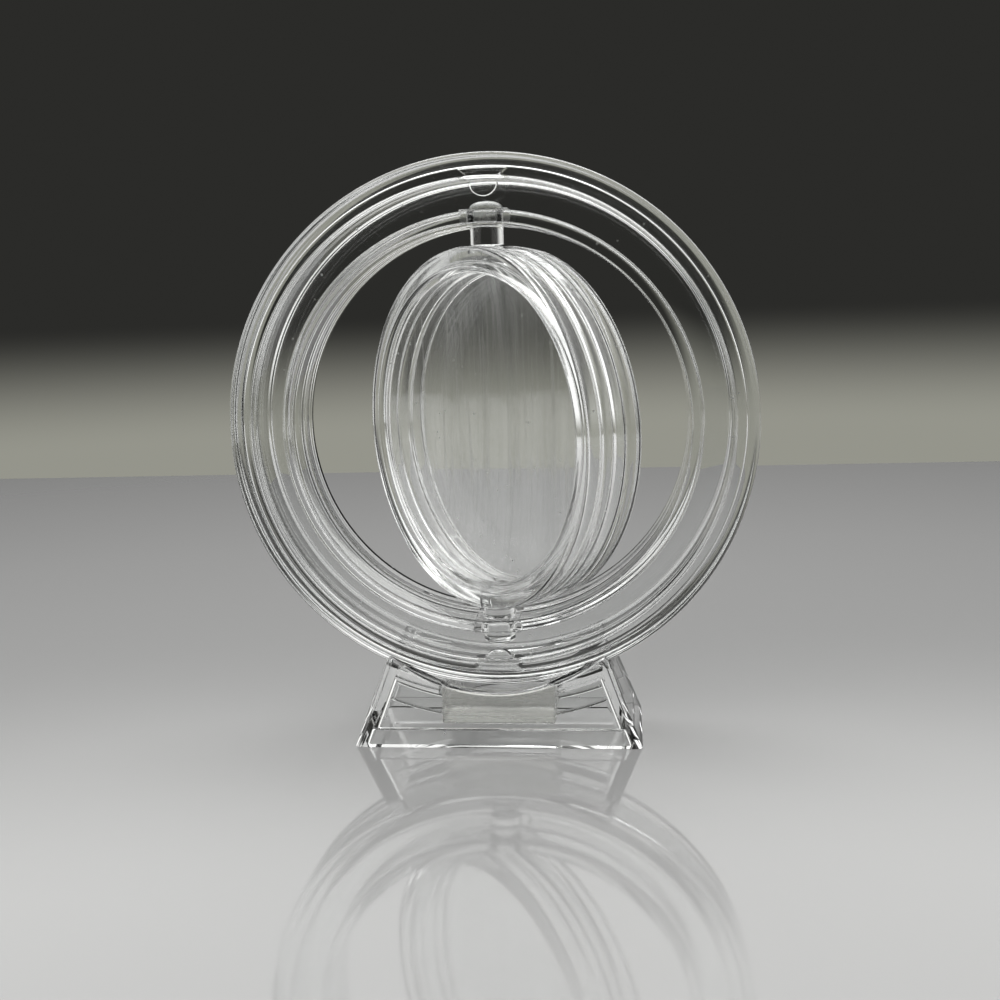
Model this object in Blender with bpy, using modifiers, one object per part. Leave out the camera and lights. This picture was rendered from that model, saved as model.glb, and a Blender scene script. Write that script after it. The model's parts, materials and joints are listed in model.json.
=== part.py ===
"""Clear plastic coin display stand.

A hollow ring stands in a low foot, and a round coin capsule turns inside the ring on two upright pins.
Units are metres, +Z is up, the front looks along -Y, and the origin is the middle of the foot's underside.
"""
import math

import bmesh
import bpy
from mathutils import Matrix, Vector

# Gaps between neighbouring pieces
FIT_GAP = 0.0003
SEAM_GAP = 0.0003
RUN_GAP = 0.0003
SEAT_GAP = 0.0003

# Coin capsule, measured across its radius and from front to back
COIN_CAVITY_RADIUS = 0.02095
CAPSULE_WALL = 0.00315
CAPSULE_DROP = 0.0006
CAPSULE_TURN = math.radians(46.0)
HOOP_WIDTH = 0.0040
LID_RIM_DEPTH = 0.0025
LID_RIM = 0.0026
LID_RECESS = 0.0006
LID_WINDOW = 0.0010
LID_LIP_WALL = 0.0010
LID_LAP = 0.0011
CAPSULE_CHAMFER = 0.0003

# Ring, from the opening outwards and from front to back
SWING_GAP = 0.0021
RING_WIDTH = 0.0088
RING_DEPTH = 0.0108
OUTER_RIM = 0.0031
INNER_RIM = 0.0015
WEB_RECESS = 0.0011
WEB_THICKNESS = 0.0012
RING_LIP_WALL = 0.0014
RING_CHAMFER = 0.0004
NOTCH_MOUTH = 0.0064
NOTCH_FLOOR = 0.0037
NOTCH_SILL = 0.0004
NOTCH_DEPTH = 0.0026
TONGUE_RADIUS = 0.0019
UPPER_TONGUE_REACH = 0.0022
LOWER_TONGUE_REACH = 0.00115
TONGUE_THICKNESS = 0.0012

# Pivot pins and the bosses that they turn in
PIN_RADIUS = 0.0022
PIN_DOME = 0.0009
PIN_STEM_RADIUS = 0.0010
PIN_STEM_LENGTH = 0.0013
BOSS_HEIGHT = 0.0019
BOSS_WALL = 0.0007

# Foot
BASE_HEIGHT = 0.0120
BASE_TOP_LENGTH = 0.0297
BASE_SPLAY_X = 0.00455
BASE_SPLAY_Y = 0.0020
BASE_LIP = 0.0010
BASE_ROUND = 0.0008
BASE_WALL = 0.0014
BASE_LEDGE = 0.0006
BASE_LEDGE_HEIGHT = 0.00205
BASE_FLOOR = 0.0016
SEAT_DEPTH = 0.00465
SADDLE_RADIUS = 0.0234
SADDLE_DEPTH = 0.0049
RIB_WIDTH = 0.0080
BLOCK_LENGTH = 0.0154
BLOCK_WIDTH = 0.0100
BLOCK_CLEARANCE = 0.0022

# How finely round shapes are divided
LARGE_STEPS = 72
SMALL_STEPS = 24
DOME_STEPS = 4
MERGE_DISTANCE = 0.00001

# Sizes that follow from the ones above
CAPSULE_RADIUS = COIN_CAVITY_RADIUS + CAPSULE_WALL
CAPSULE_FRONT = HOOP_WIDTH / 2 + LID_RIM_DEPTH
LID_SEAM = HOOP_WIDTH / 2 + SEAM_GAP / 2
LID_LIP_RADIUS = COIN_CAVITY_RADIUS + LID_LIP_WALL
OPENING_RADIUS = CAPSULE_RADIUS + SWING_GAP
RING_RADIUS = OPENING_RADIUS + RING_WIDTH
RING_FRONT = RING_DEPTH / 2
WEB_OUTSIDE = RING_FRONT - WEB_RECESS
WEB_INSIDE = WEB_OUTSIDE - WEB_THICKNESS
WEB_OUTER_RADIUS = RING_RADIUS - OUTER_RIM
WEB_INNER_RADIUS = OPENING_RADIUS + INNER_RIM
LIP_RADIUS = WEB_OUTER_RADIUS + RING_LIP_WALL
LIP_FRONT = WEB_INSIDE - FIT_GAP
BOSS_RADIUS = OPENING_RADIUS + BOSS_HEIGHT
BEARING_RADIUS = PIN_RADIUS + RUN_GAP
PIN_END = WEB_OUTER_RADIUS - LOWER_TONGUE_REACH - RUN_GAP - CAPSULE_DROP
BASE_TOP_DEPTH = RING_DEPTH + 2 * (SEAT_GAP + BASE_LIP)
BASE_LENGTH = BASE_TOP_LENGTH + 2 * BASE_SPLAY_X
BASE_DEPTH = BASE_TOP_DEPTH + 2 * BASE_SPLAY_Y
SEAT_RADIUS = RING_RADIUS + SEAT_GAP
RING_CENTRE_Z = BASE_HEIGHT - SEAT_DEPTH + SEAT_RADIUS
CAPSULE_CENTRE_Z = RING_CENTRE_Z - CAPSULE_DROP
SADDLE_CENTRE_Z = BASE_HEIGHT - SADDLE_DEPTH + SADDLE_RADIUS

# A cutter reaches this far past the faces that it opens
OVERSHOOT = 0.0010

FACE_FRONT = (math.pi / 2, 0.0, 0.0)
FACE_BACK = (-math.pi / 2, 0.0, 0.0)


def clear_scene():
    for obj in list(bpy.data.objects):
        bpy.data.objects.remove(obj, do_unlink=True)


def new_collection(name):
    collection = bpy.data.collections.new(name)
    bpy.context.scene.collection.children.link(collection)
    return collection


def clear_plastic(name, colour, roughness):
    material = bpy.data.materials.new(name)
    material.use_nodes = True
    shader = material.node_tree.nodes["Principled BSDF"]
    shader.inputs["Base Color"].default_value = (*colour, 1.0)
    shader.inputs["Roughness"].default_value = roughness
    shader.inputs["Metallic"].default_value = 0.0
    shader.inputs["Transmission Weight"].default_value = 1.0
    shader.inputs["IOR"].default_value = 1.5
    return material


def add_object(name, bm, collection, material=None):
    mesh = bpy.data.meshes.new(name)
    bm.to_mesh(mesh)
    bm.free()
    if material:
        mesh.materials.append(material)
    obj = bpy.data.objects.new(name, mesh)
    collection.objects.link(obj)
    return obj


def add_empty(name, collection, location=(0.0, 0.0, 0.0), parent=None):
    empty = bpy.data.objects.new(name, None)
    empty.location = location
    empty.parent = parent
    collection.objects.link(empty)
    return empty


def turned(name, profile, closed, steps, collection, material):
    """Turn a profile of (radius, height) points, listed down its outer side, about the local Z axis."""
    bm = bmesh.new()
    verts = [bm.verts.new((radius, 0.0, height)) for radius, height in profile]
    for first, second in zip(verts, verts[1:]):
        bm.edges.new((first, second))
    if closed:
        bm.edges.new((verts[-1], verts[0]))
    obj = add_object(name, bm, collection, material)
    screw = obj.modifiers.new("turn", "SCREW")
    screw.axis = "Z"
    screw.angle = 2 * math.pi
    screw.steps = steps
    screw.render_steps = steps
    screw.use_merge_vertices = True
    screw.merge_threshold = MERGE_DISTANCE
    screw.use_smooth_shade = True
    return obj


def tapered_block(bottom, top, low, high):
    """Return a bmesh of a block whose footprint changes from bottom to top, both given as (x, y) sizes."""
    bm = bmesh.new()
    bmesh.ops.create_cube(bm, size=1.0)
    for vert in bm.verts:
        size = top if vert.co.z > 0 else bottom
        height = high if vert.co.z > 0 else low
        vert.co = Vector((vert.co.x * size[0], vert.co.y * size[1], height))
    return bm


def cylinder(radius, low, high, steps):
    """Return a bmesh of a cylinder along Z from low to high."""
    bm = bmesh.new()
    middle = Matrix.Translation((0.0, 0.0, (low + high) / 2))
    bmesh.ops.create_cone(bm, cap_ends=True, segments=steps, radius1=radius, radius2=radius,
                          depth=high - low, matrix=middle)
    return bm


def add_cutter(name, bm, collection, location=(0.0, 0.0, 0.0), rotation=(0.0, 0.0, 0.0)):
    cutter = add_object(name, bm, collection)
    cutter.location = location
    cutter.rotation_euler = rotation
    cutter.hide_render = True
    cutter.display_type = "WIRE"
    return cutter


def combine(target, other, operation):
    boolean = target.modifiers.new(other.name, "BOOLEAN")
    boolean.operation = operation
    boolean.solver = "EXACT"
    boolean.object = other


def foot_size(height, inset):
    """Return the foot's (x, y) footprint at a height, drawn in by an inset on each side."""
    share = height / BASE_HEIGHT
    length = BASE_LENGTH - 2 * BASE_SPLAY_X * share
    depth = BASE_DEPTH - 2 * BASE_SPLAY_Y * share
    return (length - 2 * inset, depth - 2 * inset)


def round_upper_edges(bm, radius):
    edges = [edge for edge in bm.edges if max(vert.co.z for vert in edge.verts) > BASE_HEIGHT / 2]
    bmesh.ops.bevel(bm, geom=edges, offset=radius, segments=2, affect="EDGES", profile=0.5)


def round_bar(name, radius, centre_z, collection):
    """A long cylinder across the foot from front to back."""
    reach = BASE_DEPTH / 2 + OVERSHOOT
    bm = cylinder(radius, -reach, reach, LARGE_STEPS)
    return add_cutter(name, bm, collection, (0.0, 0.0, centre_z), FACE_FRONT)


def make_foot_hollow(cutters):
    """The space inside the foot: a wide bottom step and a narrower upper part, around a rib and a block."""
    step = tapered_block(foot_size(-OVERSHOOT, BASE_WALL), foot_size(BASE_LEDGE_HEIGHT, BASE_WALL),
                         -OVERSHOOT, BASE_LEDGE_HEIGHT)
    hollow = add_cutter("foot_hollow", step, cutters)
    inset = BASE_WALL + BASE_LEDGE
    upper = tapered_block(foot_size(0.0, inset), foot_size(BASE_HEIGHT, inset), 0.0, BASE_HEIGHT)
    combine(hollow, add_cutter("foot_hollow_upper", upper, cutters), "UNION")
    seat_roof = round_bar("seat_roof", SEAT_RADIUS + BASE_FLOOR, RING_CENTRE_Z, cutters)
    combine(hollow, seat_roof, "DIFFERENCE")
    saddle_roof = round_bar("saddle_roof", SADDLE_RADIUS + BASE_FLOOR, SADDLE_CENTRE_Z, cutters)
    combine(hollow, saddle_roof, "DIFFERENCE")
    rib = cylinder(RING_CENTRE_Z - BLOCK_CLEARANCE, -RIB_WIDTH / 2, RIB_WIDTH / 2, LARGE_STEPS)
    rib_cutter = add_cutter("foot_rib", rib, cutters, (0.0, 0.0, RING_CENTRE_Z), FACE_FRONT)
    combine(hollow, rib_cutter, "DIFFERENCE")
    block_size = (BLOCK_LENGTH, BLOCK_WIDTH)
    block = tapered_block(block_size, block_size, BLOCK_CLEARANCE, BASE_HEIGHT + OVERSHOOT)
    combine(hollow, add_cutter("foot_block", block, cutters), "DIFFERENCE")
    return hollow


def make_stand_base(parts, cutters):
    bm = tapered_block(foot_size(0.0, 0.0), foot_size(BASE_HEIGHT, 0.0), 0.0, BASE_HEIGHT)
    round_upper_edges(bm, BASE_ROUND)
    base = add_object("stand_base", bm, parts, clear_plastic("base_plastic", (0.93, 0.95, 0.95), 0.06))
    saddle = round_bar("saddle", SADDLE_RADIUS, SADDLE_CENTRE_Z, cutters)
    combine(base, saddle, "DIFFERENCE")
    half_slot = RING_DEPTH / 2 + SEAT_GAP
    slot = cylinder(SEAT_RADIUS, -half_slot, half_slot, LARGE_STEPS)
    combine(base, add_cutter("ring_slot", slot, cutters, (0.0, 0.0, RING_CENTRE_Z), FACE_FRONT), "DIFFERENCE")
    combine(base, make_foot_hollow(cutters), "DIFFERENCE")
    return base


def ring_front_profile():
    seam = SEAM_GAP / 2
    wall = LIP_RADIUS + FIT_GAP
    return [
        (RING_RADIUS - RING_CHAMFER, RING_FRONT),
        (RING_RADIUS, RING_FRONT - RING_CHAMFER),
        (RING_RADIUS, seam),
        (wall, seam),
        (wall, WEB_INSIDE),
        (WEB_INNER_RADIUS, WEB_INSIDE),
        (WEB_INNER_RADIUS, seam),
        (OPENING_RADIUS, seam),
        (OPENING_RADIUS, RING_FRONT - RING_CHAMFER),
        (OPENING_RADIUS + RING_CHAMFER, RING_FRONT),
        (WEB_INNER_RADIUS, RING_FRONT),
        (WEB_INNER_RADIUS, WEB_OUTSIDE),
        (WEB_OUTER_RADIUS, WEB_OUTSIDE),
        (WEB_OUTER_RADIUS, RING_FRONT),
    ]


def ring_back_profile():
    seam = -SEAM_GAP / 2
    return [
        (RING_RADIUS, seam),
        (RING_RADIUS, -RING_FRONT + RING_CHAMFER),
        (RING_RADIUS - RING_CHAMFER, -RING_FRONT),
        (WEB_OUTER_RADIUS, -RING_FRONT),
        (WEB_OUTER_RADIUS, -WEB_OUTSIDE),
        (WEB_INNER_RADIUS, -WEB_OUTSIDE),
        (WEB_INNER_RADIUS, -RING_FRONT),
        (OPENING_RADIUS + RING_CHAMFER, -RING_FRONT),
        (OPENING_RADIUS, -RING_FRONT + RING_CHAMFER),
        (OPENING_RADIUS, seam),
        (WEB_INNER_RADIUS, seam),
        (WEB_INNER_RADIUS, -WEB_INSIDE),
        (WEB_OUTER_RADIUS, -WEB_INSIDE),
        (WEB_OUTER_RADIUS, LIP_FRONT),
        (LIP_RADIUS, LIP_FRONT),
        (LIP_RADIUS, seam),
    ]


def pin_side(upper):
    """Rotation that carries a shape drawn at the top of the ring to the bottom."""
    return (0.0, 0.0, 0.0) if upper else (0.0, math.pi, 0.0)


def add_half_bosses(ring_half, front, cutters):
    """Half of each pin boss, from the web to just short of the seam, then half of each bearing hole."""
    centre = (0.0, 0.0, RING_CENTRE_Z)
    width = 2 * (BEARING_RADIUS + BOSS_WALL)
    reach = WEB_INSIDE + WEB_THICKNESS / 2
    depth = reach - SEAM_GAP
    side = -1.0 if front else 1.0
    for upper in (True, False):
        low = (OPENING_RADIUS + WEB_INNER_RADIUS) / 2
        bm = tapered_block((width, depth), (width, depth), low, BOSS_RADIUS)
        bmesh.ops.translate(bm, verts=bm.verts, vec=(0.0, side * (SEAM_GAP + depth / 2), 0.0))
        name = f"{ring_half.name}_boss_{'upper' if upper else 'lower'}"
        combine(ring_half, add_cutter(name, bm, cutters, centre, pin_side(upper)), "UNION")
    reach = BOSS_RADIUS + OVERSHOOT
    hole = cylinder(BEARING_RADIUS, -reach, reach, SMALL_STEPS)
    combine(ring_half, add_cutter(f"{ring_half.name}_bearing", hole, cutters, centre), "DIFFERENCE")


def cut_lip_notches(ring_back, cutters):
    """A tapered notch in the outside of the lip, open at its front end, at the top and at the bottom."""
    size = NOTCH_DEPTH + OVERSHOOT
    for upper in (True, False):
        bm = tapered_block((NOTCH_FLOOR, size), (NOTCH_MOUTH, size), WEB_OUTER_RADIUS + NOTCH_SILL,
                           LIP_RADIUS + FIT_GAP)
        bmesh.ops.translate(bm, verts=bm.verts, vec=(0.0, NOTCH_DEPTH - LIP_FRONT - size / 2, 0.0))
        name = f"notch_{'upper' if upper else 'lower'}"
        cutter = add_cutter(name, bm, cutters, (0.0, 0.0, RING_CENTRE_Z), pin_side(upper))
        combine(ring_back, cutter, "DIFFERENCE")


def add_tongues(ring_back, cutters):
    """A round-ended tongue from the lip into the hollow by each notch, the lower one short to take a pin."""
    root = WEB_OUTER_RADIUS + NOTCH_SILL / 2
    back = LIP_FRONT - 1.5 * TONGUE_THICKNESS
    for upper in (True, False):
        reach = UPPER_TONGUE_REACH if upper else LOWER_TONGUE_REACH
        centre_radius = WEB_OUTER_RADIUS - reach + TONGUE_RADIUS
        bm = cylinder(TONGUE_RADIUS, back, back + TONGUE_THICKNESS, SMALL_STEPS)
        bmesh.ops.rotate(bm, verts=bm.verts, matrix=Matrix.Rotation(math.pi / 2, 3, "X"))
        bmesh.ops.translate(bm, verts=bm.verts, vec=(0.0, 0.0, centre_radius))
        geometry = bm.verts[:] + bm.edges[:] + bm.faces[:]
        cut = bmesh.ops.bisect_plane(bm, geom=geometry, plane_co=(0.0, 0.0, root),
                                     plane_no=(0.0, 0.0, 1.0), clear_outer=True)
        rim = [item for item in cut["geom_cut"] if isinstance(item, bmesh.types.BMEdge)]
        bmesh.ops.edgenet_fill(bm, edges=rim)
        bmesh.ops.recalc_face_normals(bm, faces=bm.faces)
        name = f"tongue_{'upper' if upper else 'lower'}"
        combine(ring_back, add_cutter(name, bm, cutters, (0.0, 0.0, RING_CENTRE_Z), pin_side(upper)), "UNION")


def make_ring(parts, cutters, centre):
    plastic = clear_plastic("ring_plastic", (0.94, 0.95, 0.95), 0.05)
    front = turned("ring_front", ring_front_profile(), True, LARGE_STEPS, parts, plastic)
    back = turned("ring_back", ring_back_profile(), True, LARGE_STEPS, parts, plastic)
    for half in (front, back):
        half.parent = centre
        half.rotation_euler = FACE_FRONT
        add_half_bosses(half, half is front, cutters)
    cut_lip_notches(back, cutters)
    add_tongues(back, cutters)


def lid_profile():
    """A window set back inside a raised rim, with a lip that presses into the hoop."""
    window = CAPSULE_FRONT - LID_RECESS
    rim_radius = CAPSULE_RADIUS - LID_RIM
    cavity_side = window - LID_WINDOW
    lip_end = LID_SEAM - LID_LAP
    return [
        (0.0, window),
        (rim_radius, window),
        (rim_radius, CAPSULE_FRONT),
        (CAPSULE_RADIUS - CAPSULE_CHAMFER, CAPSULE_FRONT),
        (CAPSULE_RADIUS, CAPSULE_FRONT - CAPSULE_CHAMFER),
        (CAPSULE_RADIUS, LID_SEAM),
        (LID_LIP_RADIUS, LID_SEAM),
        (LID_LIP_RADIUS, lip_end),
        (COIN_CAVITY_RADIUS, lip_end),
        (COIN_CAVITY_RADIUS, cavity_side),
        (0.0, cavity_side),
    ]


def hoop_profile():
    """The band between the lids, with a rib that keeps their lips apart and lines the coin's cavity."""
    side = LID_SEAM - SEAM_GAP
    rib = LID_SEAM - LID_LAP - SEAM_GAP
    wall = LID_LIP_RADIUS + FIT_GAP
    return [
        (CAPSULE_RADIUS, side),
        (CAPSULE_RADIUS, -side),
        (wall, -side),
        (wall, -rib),
        (COIN_CAVITY_RADIUS, -rib),
        (COIN_CAVITY_RADIUS, rib),
        (wall, rib),
        (wall, side),
    ]


def pin_profile():
    """The upper pin, down from its domed end: the round that turns in the bearing, then the stem in the hoop."""
    shoulder = CAPSULE_RADIUS + FIT_GAP
    dome = []
    for step in range(DOME_STEPS + 1):
        angle = math.pi / 2 * step / DOME_STEPS
        dome.append((PIN_RADIUS * math.sin(angle), PIN_END - PIN_DOME + PIN_DOME * math.cos(angle)))
    return dome + [
        (PIN_RADIUS, shoulder),
        (PIN_STEM_RADIUS, shoulder),
        (PIN_STEM_RADIUS, shoulder - PIN_STEM_LENGTH),
        (0.0, shoulder - PIN_STEM_LENGTH),
    ]


def make_capsule(parts, cutters, spin):
    plastic = clear_plastic("capsule_plastic", (0.94, 0.95, 0.95), 0.05)
    hoop = turned("capsule_hoop", hoop_profile(), True, LARGE_STEPS, parts, plastic)
    front_lid = turned("capsule_front_lid", lid_profile(), False, LARGE_STEPS, parts, plastic)
    back_lid = turned("capsule_back_lid", lid_profile(), False, LARGE_STEPS, parts, plastic)
    for piece in (hoop, front_lid, back_lid):
        piece.parent = spin
        piece.rotation_euler = FACE_BACK if piece is back_lid else FACE_FRONT
    socket_low = CAPSULE_RADIUS - PIN_STEM_LENGTH
    for upper in (True, False):
        socket = cylinder(PIN_STEM_RADIUS + FIT_GAP, socket_low, CAPSULE_RADIUS + OVERSHOOT, SMALL_STEPS)
        name = f"socket_{'upper' if upper else 'lower'}"
        cutter = add_cutter(name, socket, cutters, (0.0, 0.0, CAPSULE_CENTRE_Z), pin_side(upper))
        combine(hoop, cutter, "DIFFERENCE")


def make_pivot_pins(parts, spin):
    plastic = clear_plastic("pin_plastic", (0.94, 0.95, 0.95), 0.05)
    for upper in (True, False):
        name = "upper_pivot_pin" if upper else "lower_pivot_pin"
        pin = turned(name, pin_profile(), False, SMALL_STEPS, parts, plastic)
        pin.parent = spin
        pin.rotation_euler = pin_side(upper)


def main():
    clear_scene()
    parts = new_collection("coin_display_stand")
    cutters = new_collection("cutters")
    ring_centre = add_empty("ring_centre", parts, (0.0, 0.0, RING_CENTRE_Z))
    capsule_spin = add_empty("capsule_spin", parts, (0.0, 0.0, -CAPSULE_DROP), ring_centre)
    capsule_spin.rotation_euler = (0.0, 0.0, -CAPSULE_TURN)
    make_stand_base(parts, cutters)
    make_ring(parts, cutters, ring_centre)
    make_capsule(parts, cutters, capsule_spin)
    make_pivot_pins(parts, capsule_spin)


main()
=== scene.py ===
"""Looks of the clear coin display stand: moulded ring, coin capsule, pivot pins and foot."""
import json
import math

import bmesh
import bpy
from mathutils import Matrix, Vector


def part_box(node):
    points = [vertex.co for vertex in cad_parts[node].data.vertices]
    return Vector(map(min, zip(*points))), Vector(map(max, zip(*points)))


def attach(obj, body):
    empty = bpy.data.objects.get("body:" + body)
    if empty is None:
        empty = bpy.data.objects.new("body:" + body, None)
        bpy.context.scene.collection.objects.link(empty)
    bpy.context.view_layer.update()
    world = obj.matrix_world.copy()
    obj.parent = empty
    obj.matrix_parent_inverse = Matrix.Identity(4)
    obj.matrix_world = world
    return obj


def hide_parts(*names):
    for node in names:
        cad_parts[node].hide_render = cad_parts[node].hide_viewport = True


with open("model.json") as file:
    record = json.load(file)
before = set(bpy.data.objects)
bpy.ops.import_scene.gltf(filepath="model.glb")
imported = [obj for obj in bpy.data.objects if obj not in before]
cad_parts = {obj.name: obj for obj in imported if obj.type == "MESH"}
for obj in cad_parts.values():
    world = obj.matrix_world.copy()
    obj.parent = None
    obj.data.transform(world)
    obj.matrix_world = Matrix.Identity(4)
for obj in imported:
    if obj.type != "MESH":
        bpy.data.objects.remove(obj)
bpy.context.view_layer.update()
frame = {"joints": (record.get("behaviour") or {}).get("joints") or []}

# Sizes and places read from the frame, in metres
RING_LOW, RING_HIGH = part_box("ring_front")
RING_RADIUS = (RING_HIGH.x - RING_LOW.x) / 2
RING_CENTRE = Vector((0.0, 0.0, (RING_LOW.z + RING_HIGH.z) / 2))
RING_FRONT = -RING_LOW.y
HOOP_LOW, HOOP_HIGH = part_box("capsule_hoop")
CAPSULE_RADIUS = (HOOP_HIGH.z - HOOP_LOW.z) / 2
CAPSULE_CENTRE = Vector((0.0, 0.0, (HOOP_LOW.z + HOOP_HIGH.z) / 2))
PIN_LOW, PIN_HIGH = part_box("upper_pivot_pin")
PIN_RADIUS = (PIN_HIGH.x - PIN_LOW.x) / 2
BASE_LOW, BASE_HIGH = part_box("stand_base")
BASE_LENGTH = BASE_HIGH.x - BASE_LOW.x
BASE_DEPTH = BASE_HIGH.y - BASE_LOW.y
BASE_HEIGHT = BASE_HIGH.z
LID_AXIS = next(Vector(joint["axis"]) for joint in frame["joints"] if joint["name"] == "front_lid_pull")
CAPSULE_TURN = math.atan2(-LID_AXIS.x, -LID_AXIS.y)

# Seams and roundings of the mouldings
SEAM = 0.00006
EDGE_ROUND = 0.00028
OUTER_ROUND = 0.0007
CUT_ROUND = 0.00015

# Ring
OPENING_RADIUS = 0.0262
RIM_ROUND = 0.0006
OUTER_RIM = 0.0031
INNER_RIM = 0.0015
WEB_RECESS = 0.0011
WEB_THICKNESS = 0.0012
RING_LIP_WALL = 0.0015
NOTCH_MOUTH = 0.0072
NOTCH_FLOOR = 0.0042
NOTCH_SILL = 0.0004
NOTCH_DEPTH = 0.0026
TONGUE_RADIUS = 0.0019
UPPER_TONGUE_REACH = 0.0022
LOWER_TONGUE_REACH = 0.00115
TONGUE_THICKNESS = 0.0012
BOSS_HEIGHT = 0.0019
BOSS_WIDTH = 0.0064
BEARING_GAP = 0.0002

# Coin capsule
COIN_CAVITY_RADIUS = 0.02095
HOOP_WIDTH = 0.0040
LID_RIM_DEPTH = 0.0025
LID_RIM = 0.0026
LID_RECESS = 0.0006
LID_WINDOW = 0.0010
LID_LIP_WALL = 0.0012
LID_LAP = 0.0011

# Pivot pins
PIN_DOME = 0.0009
PIN_STEM_RADIUS = 0.0010
PIN_ROUND = EDGE_ROUND / 2

# Foot
BASE_TOP_LENGTH = 0.0297
BASE_SPLAY_Y = 0.0020
BASE_ROUND = 0.0008
BASE_WALL = 0.0014
BASE_LEDGE = 0.0006
BASE_LEDGE_HEIGHT = 0.00205
BASE_FLOOR = 0.0016
SEAT_GAP = 0.0003
SADDLE_RADIUS = 0.0234
SADDLE_DEPTH = 0.0049
HOLLOW_ROUND = 0.0007
LEDGE_ROUND = 0.0003
RIB_WIDTH = 0.0080
RIB_WALL = 0.0010
RIB_ROUND = 0.0004
BLOCK_LENGTH = 0.0154
BLOCK_WIDTH = 0.0100
BLOCK_CLEARANCE = 0.0022
BLOCK_FLOOR = 0.0006
BLOCK_GAP = 0.0003

# Sizes that follow from the ones above
WEB_OUTER = RING_RADIUS - OUTER_RIM
WEB_INNER = OPENING_RADIUS + INNER_RIM
WEB_OUTSIDE = RING_FRONT - WEB_RECESS
WEB_INSIDE = WEB_OUTSIDE - WEB_THICKNESS
LIP_RADIUS = WEB_OUTER + RING_LIP_WALL
LIP_FRONT = WEB_INSIDE - SEAM
BOSS_RADIUS = OPENING_RADIUS + BOSS_HEIGHT
BEARING_RADIUS = PIN_RADIUS + BEARING_GAP
CAPSULE_FRONT = HOOP_WIDTH / 2 + LID_RIM_DEPTH
LID_SEAM = HOOP_WIDTH / 2 + SEAM / 2
LID_LIP_RADIUS = COIN_CAVITY_RADIUS + LID_LIP_WALL
SEAT_RADIUS = RING_RADIUS + SEAT_GAP
SADDLE_CENTRE = Vector((0.0, 0.0, BASE_HEIGHT - SADDLE_DEPTH + SADDLE_RADIUS))

# Mesh fineness and limits
RING_STEPS = 360
PIN_STEPS = 64
DOME_STEPS = 10
CORNER_STEPS = 6
ROUND_STEPS = 3
OUTER_STEPS = 4
HOLLOW_STEPS = 6
WELD = 0.000001
ROUNDED_ANGLE = math.radians(25)
CUT_ANGLE = math.radians(38)
UPRIGHT_LIMIT = 0.5
OVERSHOOT = 0.001
SHADING_WEIGHT = 100
SECOND_MATERIAL = 1

Y_AXIS = Vector((0.0, 1.0, 0.0))
Z_AXIS = Vector((0.0, 0.0, 1.0))
UPRIGHT = Matrix.Identity(3)
FRONT_TO_BACK = Matrix.Rotation(math.pi / 2, 3, "X")


# Mesh tools

def spin_profile(points, centre, axis, steps, closed):
    """Spin a chain of points a full turn, with its doubles merged and its faces pointing outwards."""
    bm = bmesh.new()
    verts = [bm.verts.new(point) for point in points]
    edges = [bm.edges.new(pair) for pair in zip(verts, verts[1:])]
    if closed:
        edges.append(bm.edges.new((verts[-1], verts[0])))
    bmesh.ops.spin(bm, geom=verts + edges, cent=centre, axis=axis, dvec=(0.0, 0.0, 0.0),
                   angle=2 * math.pi, steps=steps, use_merge=True, use_duplicate=False)
    bmesh.ops.remove_doubles(bm, verts=bm.verts, dist=WELD)
    bmesh.ops.recalc_face_normals(bm, faces=bm.faces)
    return bm


def round_edges(bm, edges, radius, segments=ROUND_STEPS):
    bmesh.ops.bevel(bm, geom=edges, offset=radius, offset_type="OFFSET", segments=segments, profile=0.5,
                    affect="EDGES", material=-1)


def is_sharp(edge, limit=ROUNDED_ANGLE):
    return edge.is_manifold and edge.calc_face_angle() > limit


def soften(bm, radius):
    """Round every sharp edge of a moulding."""
    round_edges(bm, [edge for edge in bm.edges if is_sharp(edge)], radius)


def lies_around(edge, centre, radius):
    """True for an edge whose ends lie at a radius about a centre, seen from the front."""
    along = [vert.co - centre for vert in edge.verts]
    return all(abs(math.hypot(part.x, part.z) - radius) < WELD for part in along)


def round_moulding(profile, centre, radius, closed):
    """Spin (radius, height to the front) points, and round the outer edges well and the others a little."""
    points = [centre + Vector((reach, -height, 0.0)) for reach, height in profile]
    bm = spin_profile(points, centre, Y_AXIS, RING_STEPS, closed)
    outer = [edge for edge in bm.edges if lies_around(edge, centre, radius) and is_sharp(edge)]
    round_edges(bm, outer, OUTER_ROUND, OUTER_STEPS)
    soften(bm, EDGE_ROUND)
    return bm


def block(size, middle):
    bm = bmesh.new()
    bmesh.ops.create_cube(bm, size=1.0)
    bmesh.ops.scale(bm, vec=size, verts=bm.verts)
    bmesh.ops.translate(bm, vec=middle, verts=bm.verts)
    return bm


def tapered_block(low_size, high_size, low, high):
    """A block whose (x, y) footprint changes from its low end to its high end."""
    bm = block((low_size[0], low_size[1], high - low), (0.0, 0.0, (low + high) / 2))
    top = [vert for vert in bm.verts if vert.co.z > (low + high) / 2]
    bmesh.ops.scale(bm, vec=(high_size[0] / low_size[0], high_size[1] / low_size[1], 1.0), verts=top)
    return bm


def rod(radius, length, middle, turn, steps):
    """A cylinder along Z, turned and then moved to its middle."""
    bm = bmesh.new()
    bmesh.ops.create_cone(bm, cap_ends=True, segments=steps, radius1=radius, radius2=radius, depth=length,
                          matrix=Matrix.Translation(middle) @ turn.to_4x4())
    return bm


def turn_over(bm, verts, centre):
    """Carry a shape from the top to the bottom."""
    bmesh.ops.rotate(bm, verts=verts, cent=centre, matrix=Matrix.Rotation(math.pi, 3, "Y"))


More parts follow.
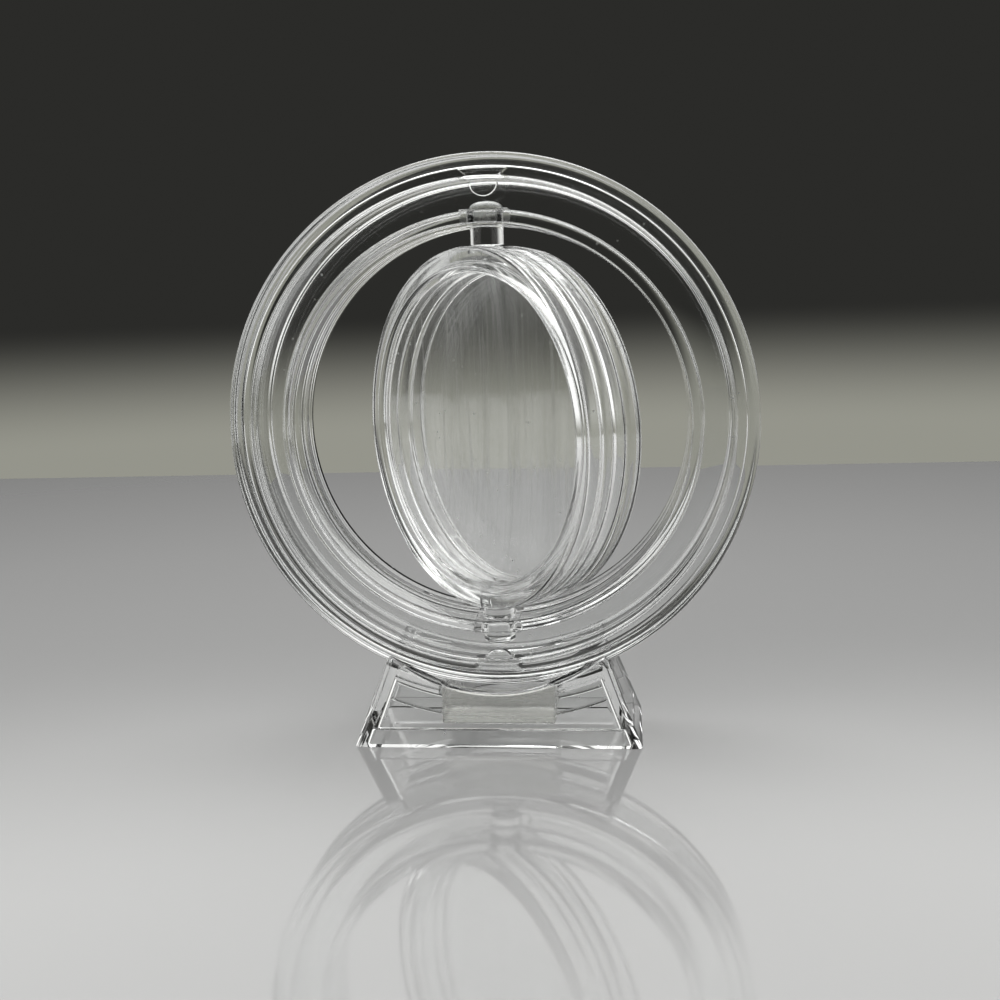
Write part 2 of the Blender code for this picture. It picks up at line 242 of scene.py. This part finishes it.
def repeat_below(bm, centre):
    """Copy a shape from the top to the bottom."""
    copy = bmesh.ops.duplicate(bm, geom=bm.verts[:] + bm.edges[:] + bm.faces[:])
    turn_over(bm, [item for item in copy["geom"] if isinstance(item, bmesh.types.BMVert)], centre)
    return bm


def loose_object(name, bm):
    mesh = bpy.data.meshes.new(name)
    bm.to_mesh(mesh)
    bm.free()
    obj = bpy.data.objects.new(name, mesh)
    bpy.context.scene.collection.objects.link(obj)
    return obj


def combine(bm, tool, operation):
    """Join two shapes or cut one with the other, and return the result."""
    target = loose_object("target", bm)
    other = loose_object("tool", tool)
    boolean = target.modifiers.new("combine", "BOOLEAN")
    boolean.operation = operation
    boolean.solver = "EXACT"
    boolean.object = other
    result = bmesh.new()
    result.from_object(target, bpy.context.evaluated_depsgraph_get())
    for obj in (target, other):
        mesh = obj.data
        bpy.data.objects.remove(obj)
        bpy.data.meshes.remove(mesh)
    return result


def install(name, bm, body, slot, node, *materials):
    """Finish a piece with even shading, and put it in the place of its CAD node."""
    piece = loose_object(name, bm)
    for material in materials:
        piece.data.materials.append(material)
    piece.data.shade_smooth()
    piece.data.set_sharp_from_angle(angle=CUT_ANGLE)
    weighted = piece.modifiers.new("even_shading", "WEIGHTED_NORMAL")
    weighted.mode = "FACE_AREA"
    weighted.weight = SHADING_WEIGHT
    weighted.keep_sharp = True
    # The clear foot lets the light through to the table
    piece.visible_shadow = body != "base"
    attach(piece, body)
    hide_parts(node)


# Materials: sizes in metres, spans of a texture's value, and the roughness at each end of a span

PLASTIC_IOR = 1.5
COARSE_DETAIL = 1.0
MEDIUM_DETAIL = 2.0
FINE_DETAIL = 3.0
TINT_SIZE = 0.02
TINT_SPAN = (0.35, 0.65)
CLEAR_TINTS = ((0.985, 0.988, 0.985), (0.955, 0.962, 0.958))
# The frosted tints are greyed to paint shade on the inner block; their streaky spread is real brushing.
PAINTED_SHADE_FROSTED_TINTS = ((0.80, 0.80, 0.77), (0.70, 0.70, 0.67))
HAZE_SIZE = 0.0015
HAZE_SPAN = (0.35, 0.70)
CLEAR_HAZE = (0.002, 0.015)
CLOUDY_HAZE = (0.16, 0.34)
SPECK_SPACING = 0.0035
SPECK_SPAN = (0.03, 0.06)
SPECK_HAZE = (0.50, 0.0)
SCRATCH_STRETCH = (1.0, 1.0, 0.03)
SCRATCH_SIZE = 0.0008
SCRATCH_SPAN = (0.55, 0.72)
SCRATCH_HAZE = (0.0, 0.22)
RIPPLE_SIZE = 0.012
RIPPLE_STRENGTH = 0.03
RIPPLE_DEPTH = 0.0002
BRUSH_STRETCH = (0.06, 0.06, 1.0)
BRUSH_SIZE = 0.0005
BRUSH_SPAN = (0.35, 0.65)
BRUSH_HAZE = (0.16, 0.32)
BRUSH_STRENGTH = 0.20
BRUSH_DEPTH = 0.00005


def new_plastic(name):
    """A see-through Principled material, with its node tree and the object's own coordinates."""
    material = bpy.data.materials.new(name)
    material.use_nodes = True
    tree = material.node_tree
    shader = tree.nodes["Principled BSDF"]
    shader.inputs["Transmission Weight"].default_value = 1.0
    shader.inputs["IOR"].default_value = PLASTIC_IOR
    coordinates = tree.nodes.new("ShaderNodeTexCoord").outputs["Object"]
    return material, tree, shader, coordinates


def stretch(tree, coordinates, scale):
    mapping = tree.nodes.new("ShaderNodeMapping")
    mapping.inputs["Scale"].default_value = scale
    tree.links.new(coordinates, mapping.inputs["Vector"])
    return mapping.outputs["Vector"]


def noise(tree, coordinates, size, detail):
    """Noise whose blotches are about the given size in metres."""
    texture = tree.nodes.new("ShaderNodeTexNoise")
    texture.inputs["Scale"].default_value = 1.0 / size
    texture.inputs["Detail"].default_value = detail
    tree.links.new(coordinates, texture.inputs["Vector"])
    return texture.outputs["Fac"]


def dots(tree, coordinates, spacing):
    """Distance to the nearest of scattered points, as a share of their spacing."""
    texture = tree.nodes.new("ShaderNodeTexVoronoi")
    texture.inputs["Scale"].default_value = 1.0 / spacing
    tree.links.new(coordinates, texture.inputs["Vector"])
    return texture.outputs["Distance"]


def remap(tree, value, old_range, new_range, interpolation="LINEAR"):
    mapper = tree.nodes.new("ShaderNodeMapRange")
    mapper.interpolation_type = interpolation
    mapper.inputs["From Min"].default_value = old_range[0]
    mapper.inputs["From Max"].default_value = old_range[1]
    mapper.inputs["To Min"].default_value = new_range[0]
    mapper.inputs["To Max"].default_value = new_range[1]
    tree.links.new(value, mapper.inputs["Value"])
    return mapper.outputs["Result"]


def fade_in(tree, value, span):
    """A share that rises softly from none to all over a span of values."""
    return remap(tree, value, span, (0.0, 1.0), "SMOOTHSTEP")


def calculate(tree, operation, *values):
    """A Math node on one or two values."""
    node = tree.nodes.new("ShaderNodeMath")
    node.operation = operation
    for socket, value in zip(node.inputs, values):
        tree.links.new(value, socket)
    return node.outputs["Value"]


def blend(tree, share, *colours):
    """Mix two colours, each of which is a value or a socket."""
    node = tree.nodes.new("ShaderNodeMix")
    node.data_type = "RGBA"
    factor, *ends = [socket for socket in node.inputs if socket.enabled]
    tree.links.new(share, factor)
    for socket, colour in zip(ends, colours):
        if isinstance(colour, bpy.types.NodeSocket):
            tree.links.new(colour, socket)
        else:
            socket.default_value = colour
    return next(socket for socket in node.outputs if socket.enabled)


def tint(tree, shader, value, colours):
    """Vary the plastic's tint a little between two colours."""
    ramp = tree.nodes.new("ShaderNodeValToRGB")
    for element, position, colour in zip(ramp.color_ramp.elements, TINT_SPAN, colours):
        element.position = position
        element.color = (*colour, 1.0)
    tree.links.new(value, ramp.inputs["Fac"])
    tree.links.new(ramp.outputs["Color"], shader.inputs["Base Color"])


def ripple(tree, shader, height, strength, depth):
    bump = tree.nodes.new("ShaderNodeBump")
    bump.inputs["Strength"].default_value = strength
    bump.inputs["Distance"].default_value = depth
    tree.links.new(height, bump.inputs["Height"])
    tree.links.new(bump.outputs["Normal"], shader.inputs["Normal"])


def polished_plastic(name, cloudiness, scratched):
    """Clear moulded plastic: flow ripples, some haze, dust specks, and scratches if asked for."""
    material, tree, shader, coordinates = new_plastic(name)
    tint(tree, shader, noise(tree, coordinates, TINT_SIZE, MEDIUM_DETAIL), CLEAR_TINTS)
    haze = remap(tree, noise(tree, coordinates, HAZE_SIZE, FINE_DETAIL), HAZE_SPAN, cloudiness)
    specks = remap(tree, dots(tree, coordinates, SPECK_SPACING), SPECK_SPAN, SPECK_HAZE)
    roughness = calculate(tree, "ADD", haze, specks)
    if scratched:
        upright = stretch(tree, coordinates, SCRATCH_STRETCH)
        streaks = noise(tree, upright, SCRATCH_SIZE, MEDIUM_DETAIL)
        roughness = calculate(tree, "ADD", roughness, remap(tree, streaks, SCRATCH_SPAN, SCRATCH_HAZE))
    tree.links.new(roughness, shader.inputs["Roughness"])
    waves = noise(tree, coordinates, RIPPLE_SIZE, COARSE_DETAIL)
    ripple(tree, shader, waves, RIPPLE_STRENGTH, RIPPLE_DEPTH)
    return material


def frosted_plastic(name):
    """The brushed faces of the foot's inner block, in a grey tint that paints shade on them."""
    material, tree, shader, coordinates = new_plastic(name)
    brushed = stretch(tree, coordinates, BRUSH_STRETCH)
    streaks = noise(tree, brushed, BRUSH_SIZE, FINE_DETAIL)
    # Painted shade: the grey tint darkens the inner block, varied along its brushed streaks
    tint(tree, shader, streaks, PAINTED_SHADE_FROSTED_TINTS)
    tree.links.new(remap(tree, streaks, BRUSH_SPAN, BRUSH_HAZE), shader.inputs["Roughness"])
    ripple(tree, shader, streaks, BRUSH_STRENGTH, BRUSH_DEPTH)
    return material


# Ring

def pin_bosses(side):
    """The half of each pin boss on one side of the ring's seam, from the inner wall into the hollow."""
    low = (OPENING_RADIUS + WEB_INNER) / 2
    depth = WEB_INSIDE + WEB_THICKNESS / 2 - SEAM
    middle = RING_CENTRE + Vector((0.0, side * (SEAM + depth / 2), (low + BOSS_RADIUS) / 2))
    bm = block((BOSS_WIDTH, depth, BOSS_RADIUS - low), middle)
    soften(bm, CUT_ROUND)
    return repeat_below(bm, RING_CENTRE)


def bearing_holes():
    length = 2 * (BOSS_RADIUS + OVERSHOOT)
    return rod(BEARING_RADIUS, length, RING_CENTRE, UPRIGHT, PIN_STEPS)


def lip_notches():
    """Tapered notches in the outside of the lip, open at its front end, at the top and at the bottom."""
    size = NOTCH_DEPTH + OVERSHOOT
    low = WEB_OUTER + NOTCH_SILL
    bm = tapered_block((NOTCH_FLOOR, size), (NOTCH_MOUTH, size), low, LIP_RADIUS + SEAM / 2)
    soften(bm, CUT_ROUND)
    place = RING_CENTRE + Y_AXIS * (NOTCH_DEPTH - LIP_FRONT - size / 2)
    bmesh.ops.translate(bm, vec=place, verts=bm.verts)
    return repeat_below(bm, RING_CENTRE)


def tongue(upper):
    """A round-ended tongue that reaches from the lip into the hollow by its notch."""
    root = WEB_OUTER + NOTCH_SILL / 2
    reach = UPPER_TONGUE_REACH if upper else LOWER_TONGUE_REACH
    centre_radius = WEB_OUTER - reach + TONGUE_RADIUS
    middle = RING_CENTRE + Vector((0.0, -LIP_FRONT + TONGUE_THICKNESS, centre_radius))
    bm = rod(TONGUE_RADIUS, TONGUE_THICKNESS, middle, FRONT_TO_BACK, PIN_STEPS)
    cut = bmesh.ops.bisect_plane(bm, geom=bm.verts[:] + bm.edges[:] + bm.faces[:], plane_no=Z_AXIS,
                                 plane_co=RING_CENTRE + Z_AXIS * root, clear_outer=True)
    rim = [item for item in cut["geom_cut"] if isinstance(item, bmesh.types.BMEdge)]
    bmesh.ops.edgenet_fill(bm, edges=rim)
    bmesh.ops.recalc_face_normals(bm, faces=bm.faces)
    soften(bm, CUT_ROUND)
    if not upper:
        turn_over(bm, bm.verts, RING_CENTRE)
    return bm


def rim_corner(face):
    """The ring's rounded outer edge, as (radius, height to the front) points from its side to a face."""
    points = []
    for step in range(CORNER_STEPS + 1):
        angle = math.pi / 2 * step / CORNER_STEPS
        inwards = RIM_ROUND * (1.0 - math.cos(angle))
        backwards = RIM_ROUND * (1.0 - math.sin(angle))
        points.append((RING_RADIUS - inwards, face * (RING_FRONT - backwards)))
    return points


def cloud_bearing(bm, low, high):
    """Give the second material to the faces by the upper pin that lie between two radii of the ring."""
    for face in bm.faces:
        middle = face.calc_center_median() - RING_CENTRE
        inside = abs(middle.x) < BOSS_WIDTH / 2 + WELD and abs(middle.y) < WEB_INSIDE
        if inside and low < middle.z < high:
            face.material_index = SECOND_MATERIAL


def make_ring_front(clear, cloudy):
    """The front half of the hollow ring, with raised rims around its recessed web."""
    seam = SEAM / 2
    wall = LIP_RADIUS + SEAM
    profile = rim_corner(1.0)[::-1] + [
        (RING_RADIUS, seam), (wall, seam), (wall, WEB_INSIDE), (WEB_INNER, WEB_INSIDE), (WEB_INNER, seam),
        (OPENING_RADIUS, seam), (OPENING_RADIUS, RING_FRONT), (WEB_INNER, RING_FRONT),
        (WEB_INNER, WEB_OUTSIDE), (WEB_OUTER, WEB_OUTSIDE), (WEB_OUTER, RING_FRONT),
    ]
    bm = round_moulding(profile, RING_CENTRE, RING_RADIUS, closed=True)
    bm = combine(bm, pin_bosses(-1.0), "UNION")
    bm = combine(bm, bearing_holes(), "DIFFERENCE")
    cloud_bearing(bm, OPENING_RADIUS + WELD, BOSS_RADIUS + WELD)
    install("ring_front_moulding", bm, "ring", "ring_clear", "ring_front", clear, cloudy)


def make_ring_back(clear, cloudy):
    """The back half of the ring, whose notched lip nests inside the front half."""
    seam = -SEAM / 2
    profile = rim_corner(-1.0) + [
        (WEB_OUTER, -RING_FRONT), (WEB_OUTER, -WEB_OUTSIDE), (WEB_INNER, -WEB_OUTSIDE),
        (WEB_INNER, -RING_FRONT), (OPENING_RADIUS, -RING_FRONT), (OPENING_RADIUS, seam), (WEB_INNER, seam),
        (WEB_INNER, -WEB_INSIDE), (WEB_OUTER, -WEB_INSIDE), (WEB_OUTER, LIP_FRONT), (LIP_RADIUS, LIP_FRONT),
        (LIP_RADIUS, seam), (RING_RADIUS, seam),
    ]
    bm = round_moulding(profile, RING_CENTRE, RING_RADIUS, closed=True)
    bm = combine(bm, pin_bosses(1.0), "UNION")
    bm = combine(bm, lip_notches(), "DIFFERENCE")
    for upper in (True, False):
        bm = combine(bm, tongue(upper), "UNION")
    bm = combine(bm, bearing_holes(), "DIFFERENCE")
    cloud_bearing(bm, OPENING_RADIUS + WELD, BOSS_RADIUS + WELD)
    install("ring_back_moulding", bm, "ring", "ring_clear", "ring_back", clear, cloudy)


# Coin capsule

def turn_capsule(bm, turn=0.0):
    matrix = Matrix.Rotation(turn - CAPSULE_TURN, 3, "Z")
    bmesh.ops.rotate(bm, verts=bm.verts, cent=CAPSULE_CENTRE, matrix=matrix)


def make_capsule_lid(side, turn, material):
    """A window set back inside a raised rim, with a lip that presses into the hoop."""
    window = CAPSULE_FRONT - LID_RECESS
    rim_radius = CAPSULE_RADIUS - LID_RIM
    cavity_side = window - LID_WINDOW
    lip_end = LID_SEAM - LID_LAP
    profile = [
        (0.0, window), (rim_radius, window), (rim_radius, CAPSULE_FRONT), (CAPSULE_RADIUS, CAPSULE_FRONT),
        (CAPSULE_RADIUS, LID_SEAM), (LID_LIP_RADIUS, LID_SEAM), (LID_LIP_RADIUS, lip_end),
        (COIN_CAVITY_RADIUS, lip_end), (COIN_CAVITY_RADIUS, cavity_side), (0.0, cavity_side),
    ]
    bm = round_moulding(profile, CAPSULE_CENTRE, CAPSULE_RADIUS, closed=False)
    turn_capsule(bm, turn)
    name = f"capsule_{side}_lid"
    install(f"{name}_moulding", bm, f"{side}_lid", "capsule_clear", name, material)


def make_capsule_hoop(material):
    """The band between the lids, with the sockets that hold the pivot pins."""
    side = LID_SEAM - SEAM
    rib = LID_SEAM - LID_LAP - SEAM
    wall = LID_LIP_RADIUS + SEAM
    profile = [
        (CAPSULE_RADIUS, side), (CAPSULE_RADIUS, -side), (wall, -side), (wall, -rib),
        (COIN_CAVITY_RADIUS, -rib), (COIN_CAVITY_RADIUS, rib), (wall, rib), (wall, side),
    ]
    bm = round_moulding(profile, CAPSULE_CENTRE, CAPSULE_RADIUS, closed=True)
    turn_capsule(bm)
    depth = CAPSULE_RADIUS + OVERSHOOT - (PIN_LOW.z - CAPSULE_CENTRE.z)
    middle = CAPSULE_CENTRE + Z_AXIS * (CAPSULE_RADIUS + OVERSHOOT - depth / 2 - SEAM)
    sockets = rod(PIN_STEM_RADIUS + SEAM, depth, middle, UPRIGHT, PIN_STEPS)
    bm = combine(bm, repeat_below(sockets, CAPSULE_CENTRE), "DIFFERENCE")
    install("capsule_hoop_moulding", bm, "capsule", "capsule_clear", "capsule_hoop", material)


def make_pivot_pin(side, clear, cloudy):
    """A round pin with a domed end, on a thinner stem in the hoop."""
    end = PIN_HIGH.z - PIN_DOME
    shoulder = CAPSULE_CENTRE.z + CAPSULE_RADIUS + SEAM
    profile = []
    for step in range(DOME_STEPS + 1):
        angle = math.pi / 2 * step / DOME_STEPS
        profile.append((PIN_RADIUS * math.sin(angle), end + PIN_DOME * math.cos(angle)))
    profile += [
        (PIN_RADIUS, shoulder), (PIN_STEM_RADIUS, shoulder), (PIN_STEM_RADIUS, PIN_LOW.z), (0.0, PIN_LOW.z),
    ]
    points = [Vector((radius, 0.0, height)) for radius, height in profile]
    bm = spin_profile(points, CAPSULE_CENTRE, Z_AXIS, PIN_STEPS, closed=False)
    soften(bm, PIN_ROUND)
    if side == "lower":
        turn_over(bm, bm.verts, CAPSULE_CENTRE)
    cloud_bearing(bm, OPENING_RADIUS, RING_RADIUS)
    install(f"{side}_pin_moulding", bm, "capsule", "pin_clear", f"{side}_pivot_pin", clear, cloudy)


# Foot

def foot_size(height, inset):
    """The foot's (x, y) footprint at a height, drawn in by an inset on each side."""
    share = height / BASE_HEIGHT
    length = BASE_LENGTH + (BASE_TOP_LENGTH - BASE_LENGTH) * share
    depth = BASE_DEPTH - 2 * BASE_SPLAY_Y * share
    return (length - 2 * inset, depth - 2 * inset)


def cross_bar(radius, middle, length):
    """A long cylinder across the foot from front to back."""
    return rod(radius, length, middle, FRONT_TO_BACK, RING_STEPS)


def on_saddle(edge):
    """True for the edges where the saddle leaves the foot's front and back."""
    outer = all(abs(vert.co.y) > RING_FRONT for vert in edge.verts)
    return outer and lies_around(edge, SADDLE_CENTRE, SADDLE_RADIUS) and is_sharp(edge, CUT_ANGLE)


def rounded_hollow(low, high, inset):
    """A part of the foot's hollow with rounded upright corners and a softened roof edge."""
    bm = tapered_block(foot_size(low, inset), foot_size(high, inset), low, high)
    upright = [edge for edge in bm.edges if abs(edge.verts[0].co.z - edge.verts[1].co.z) > WELD]
    round_edges(bm, upright, HOLLOW_ROUND, HOLLOW_STEPS)
    roof = [edge for edge in bm.edges if min(vert.co.z for vert in edge.verts) > high - WELD]
    round_edges(bm, roof, LEDGE_ROUND)
    return bm


def hollow_under(floor):
    """The foot's stepped hollow, which leaves a floor of some thickness under the saddle and the slot."""
    through = BASE_DEPTH + 2 * OVERSHOOT
    bm = rounded_hollow(-OVERSHOOT, BASE_LEDGE_HEIGHT, BASE_WALL)
    bm = combine(bm, rounded_hollow(0.0, BASE_HEIGHT, BASE_WALL + BASE_LEDGE), "UNION")
    bm = combine(bm, cross_bar(SEAT_RADIUS + floor, RING_CENTRE, through), "DIFFERENCE")
    return combine(bm, cross_bar(SADDLE_RADIUS + floor, SADDLE_CENTRE, through), "DIFFERENCE")


def foot_hollow():
    """The space inside the foot, higher around the block than elsewhere, without the block and its ribs."""
    around_block = block((BLOCK_LENGTH + 2 * BLOCK_GAP, BASE_DEPTH, 2 * BASE_HEIGHT), Z_AXIS * BASE_HEIGHT)
    bm = combine(hollow_under(BLOCK_FLOOR), around_block, "INTERSECT")
    bm = combine(hollow_under(BASE_FLOOR), bm, "UNION")
    for side in (-1.0, 1.0):
        middle = RING_CENTRE + Y_AXIS * side * (RIB_WIDTH - RIB_WALL) / 2
        rib = cross_bar(RING_CENTRE.z - BLOCK_CLEARANCE, middle, RIB_WALL)
        soften(rib, RIB_ROUND)
        bm = combine(bm, rib, "DIFFERENCE")
    height = BASE_HEIGHT + OVERSHOOT - BLOCK_CLEARANCE
    inner_block = block((BLOCK_LENGTH, BLOCK_WIDTH, height), Z_AXIS * (BLOCK_CLEARANCE + height / 2))
    soften(inner_block, CUT_ROUND)
    return combine(bm, inner_block, "DIFFERENCE")


def on_inner_block(face):
    """True for the upright faces of the block in the middle of the foot's hollow."""
    middle = face.calc_center_median()
    inside = abs(middle.x) < BLOCK_LENGTH / 2 + WELD and abs(middle.y) < BLOCK_WIDTH / 2 + WELD
    return inside and BLOCK_CLEARANCE - WELD < middle.z and abs(face.normal.z) < UPRIGHT_LIMIT


def make_stand_base(plastic, frosted):
    """The hollow foot, with a curved saddle and a shallow slot for the ring."""
    bm = tapered_block(foot_size(0.0, 0.0), foot_size(BASE_HEIGHT, 0.0), 0.0, BASE_HEIGHT)
    upper = [edge for edge in bm.edges if max(vert.co.z for vert in edge.verts) > BASE_HEIGHT / 2]
    round_edges(bm, upper, BASE_ROUND, OUTER_STEPS)
    bm = combine(bm, cross_bar(SADDLE_RADIUS, SADDLE_CENTRE, BASE_DEPTH + 2 * OVERSHOOT), "DIFFERENCE")
    slot_depth = 2 * (RING_FRONT + SEAT_GAP)
    bm = combine(bm, cross_bar(SEAT_RADIUS, RING_CENTRE, slot_depth), "DIFFERENCE")
    bm = combine(bm, foot_hollow(), "DIFFERENCE")
    round_edges(bm, [edge for edge in bm.edges if on_saddle(edge)], EDGE_ROUND)
    for face in bm.faces:
        if on_inner_block(face):
            face.material_index = SECOND_MATERIAL
    install("stand_base_moulding", bm, "base", "base_clear", "stand_base", plastic, frosted)


# Studio

CAMERA_DISTANCE = 0.160316
CAMERA_ELEVATION = math.radians(9.701)
CAMERA_AZIMUTH = math.radians(6.264)
CAMERA_ROLL = math.radians(1.916)
CAMERA_AIM = (0.000549, 0.032207)
CAMERA_LENS = 42.26
CAMERA_SENSOR = 36.0
CAMERA_NEAR = 0.005

TABLE_SIDE = 0.60
TABLE_FRONT = -0.60
TABLE_BACK = 0.25
TABLE_COLOUR = (0.32, 0.32, 0.32, 1.0)
TABLE_ROUGHNESS = 0.05
TABLE_SHINE = 1.0

BACKDROP_GLOW = (0.30, 0.30, 0.26, 1.0)
BACKDROP_SHADE = (0.024, 0.024, 0.022, 1.0)
TENT = (1.3, 1.3, 1.28, 1.0)

# Spans of a direction's rise, or of its turn to the side, over which the surroundings change
GLOW_RISE = (-0.11, -0.01)
CEILING_RISE = (0.26, 0.45)
WALL_TURN = (0.50, 0.75)
WALL_RISE = (-0.06, 0.16)

KEY_SOFTBOX = {"place": (-0.25, -0.20, 0.45), "size": (0.3, 0.3), "radiance": 1.5}
TOP_SOFTBOX = {"place": (0.0, 0.12, 0.40), "size": (0.30, 0.14), "radiance": 4.0}


def make_camera():
    """The photograph's view, close, slightly from above and from the object's right, with a small roll."""
    side = Vector((math.cos(CAMERA_AZIMUTH), math.sin(CAMERA_AZIMUTH), 0.0))
    back = Vector((math.sin(CAMERA_AZIMUTH) * math.cos(CAMERA_ELEVATION),
                   -math.cos(CAMERA_AZIMUTH) * math.cos(CAMERA_ELEVATION), math.sin(CAMERA_ELEVATION)))
    up = back.cross(side)
    right = side * math.cos(CAMERA_ROLL) - up * math.sin(CAMERA_ROLL)
    top = side * math.sin(CAMERA_ROLL) + up * math.cos(CAMERA_ROLL)
    data = bpy.data.cameras.new("camera")
    data.lens = CAMERA_LENS
    data.sensor_width = CAMERA_SENSOR
    data.clip_start = CAMERA_NEAR
    camera = bpy.data.objects.new("camera", data)
    bpy.context.scene.collection.objects.link(camera)
    place = side * CAMERA_AIM[0] + Z_AXIS * CAMERA_AIM[1] + back * CAMERA_DISTANCE
    camera.matrix_world = Matrix.Translation(place) @ Matrix((right, top, back)).transposed().to_4x4()
    bpy.context.scene.camera = camera


def make_table():
    bm = bmesh.new()
    bmesh.ops.create_grid(bm, x_segments=1, y_segments=1, size=1.0)
    size = Vector((TABLE_SIDE, (TABLE_BACK - TABLE_FRONT) / 2, 1.0))
    bmesh.ops.scale(bm, vec=size, verts=bm.verts)
    bmesh.ops.translate(bm, vec=(0.0, (TABLE_BACK + TABLE_FRONT) / 2, -SEAM), verts=bm.verts)
    table = loose_object("table", bm)
    material = bpy.data.materials.new("pale_table")
    material.use_nodes = True
    shader = material.node_tree.nodes["Principled BSDF"]
    shader.inputs["Base Color"].default_value = TABLE_COLOUR
    shader.inputs["Roughness"].default_value = TABLE_ROUGHNESS
    shader.inputs["Specular IOR Level"].default_value = TABLE_SHINE
    table.data.materials.append(material)


def make_backdrop():
    """A grey backdrop that falls off from a soft glow behind the table, in a pale tent that gives light."""
    world = bpy.data.worlds.new("studio")
    bpy.context.scene.world = world
    world.use_nodes = True
    tree = world.node_tree
    direction = tree.nodes.new("ShaderNodeTexCoord").outputs["Generated"]
    parts = tree.nodes.new("ShaderNodeSeparateXYZ")
    tree.links.new(direction, parts.inputs["Vector"])
    rise = parts.outputs["Z"]
    sideways = calculate(tree, "ABSOLUTE", parts.outputs["X"])
    backdrop = blend(tree, fade_in(tree, rise, GLOW_RISE), BACKDROP_GLOW, BACKDROP_SHADE)
    wall = blend(tree, fade_in(tree, rise, WALL_RISE), BACKDROP_GLOW, TENT)
    surround = blend(tree, fade_in(tree, sideways, WALL_TURN), backdrop, wall)
    tent = blend(tree, fade_in(tree, rise, CEILING_RISE), surround, TENT)
    tree.links.new(tent, tree.nodes["Background"].inputs["Color"])


def make_softbox(name, place, size, radiance):
    data = bpy.data.lights.new(name, "AREA")
    data.shape = "RECTANGLE"
    data.size, data.size_y = size
    data.energy = radiance * math.pi * size[0] * size[1]
    light = bpy.data.objects.new(name, data)
    light.location = place
    light.rotation_mode = "QUATERNION"
    light.rotation_quaternion = (RING_CENTRE - Vector(place)).to_track_quat("-Z", "Y")
    bpy.context.scene.collection.objects.link(light)


clear = polished_plastic("polished_clear_plastic", CLEAR_HAZE, scratched=False)
handled = polished_plastic("handled_clear_plastic", CLEAR_HAZE, scratched=True)
cloudy = polished_plastic("cloudy_clear_plastic", CLOUDY_HAZE, scratched=False)
frosted = frosted_plastic("frosted_plastic_with_painted_shade")
make_ring_front(clear, cloudy)
make_ring_back(clear, cloudy)
make_capsule_hoop(clear)
make_capsule_lid("front", 0.0, handled)
make_capsule_lid("back", math.pi, handled)
make_pivot_pin("upper", clear, cloudy)
make_pivot_pin("lower", clear, cloudy)
make_stand_base(clear, frosted)
make_camera()
make_table()
make_backdrop()
make_softbox("key_softbox", **KEY_SOFTBOX)
make_softbox("top_softbox", **TOP_SOFTBOX)

bpy.context.scene.view_settings.view_transform = "Standard"
